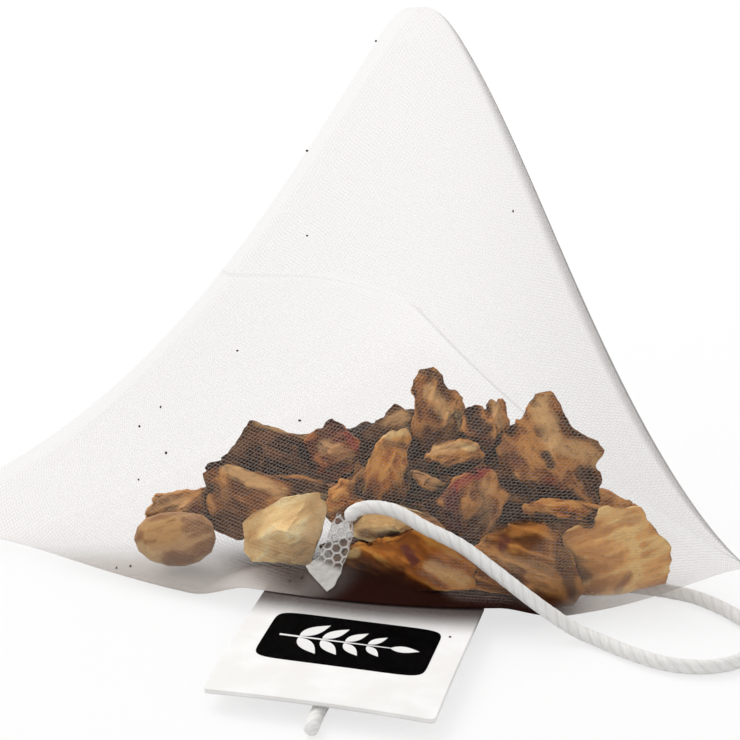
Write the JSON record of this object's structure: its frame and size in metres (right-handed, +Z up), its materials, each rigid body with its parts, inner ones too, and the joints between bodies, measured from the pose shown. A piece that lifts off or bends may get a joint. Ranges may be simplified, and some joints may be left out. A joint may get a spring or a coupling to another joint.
{
  "type": "tea bag",
  "caption": "Pyramid tea bag of sheer white mesh over dried fruit and nut pieces, with a twisted cotton string and a square card tag.",
  "frame": {"origin": "on the table, under the middle of the bag's bounding box measured without its string and tag", "axes": "+Z up from the table, +Y from the tag in front towards the bag's back corner, +X to the right seen from the front"},
  "size_m": [0.0675, 0.0834, 0.0436],
  "materials": {
    "mesh": "sheer woven white nylon",
    "weld": "clear embossed weld",
    "string": "twisted white cotton",
    "card": "matt white card with a black printed panel",
    "nut": "smooth tan nut kernel",
    "pale_fruit": "pale dried fruit",
    "orange_fruit": "orange dried fruit",
    "red_fruit": "dark red dried fruit",
    "brown_fruit": "brown dried fruit",
    "dark_fruit": "dark dried fruit"
  },
  "bodies": {
    "root": {"almond_sliver": "nut", "apple_dice_front": "brown_fruit", "apple_dice_left": "brown_fruit", "apple_dice_low_1": "brown_fruit", "apple_dice_low_2": "brown_fruit", "apple_dice_low_3": "brown_fruit", "apple_dice_right": "brown_fruit", "apple_wedge": "pale_fruit", "apricot_dice": "orange_fruit", "cherry_piece": "red_fruit", "coconut_sliver": "pale_fruit", "date_dice_back_1": "dark_fruit", "date_dice_back_2": "dark_fruit", "date_slab": "dark_fruit", "fig_dice": "dark_fruit", "fig_dice_back_1": "dark_fruit", "fig_dice_back_2": "dark_fruit", "hazelnut": "nut", "mesh_bag": "mesh", "orange_dice_front": "orange_fruit", "orange_peel": "orange_fruit", "peach_dice": "pale_fruit", "pear_dice_left": "brown_fruit", "pear_dice_low_1": "brown_fruit", "pear_dice_low_2": "brown_fruit", "pear_dice_low_3": "brown_fruit", "pear_dice_right": "orange_fruit", "peel_slab": "orange_fruit", "pineapple_dice": "pale_fruit", "raisin_1": "dark_fruit", "raisin_2": "dark_fruit", "raisin_3": "dark_fruit", "rosehip_piece": "brown_fruit", "strawberry_piece": "red_fruit", "string": "string", "string_weld": "weld", "tag": "card"}
  },
  "joints": []
}
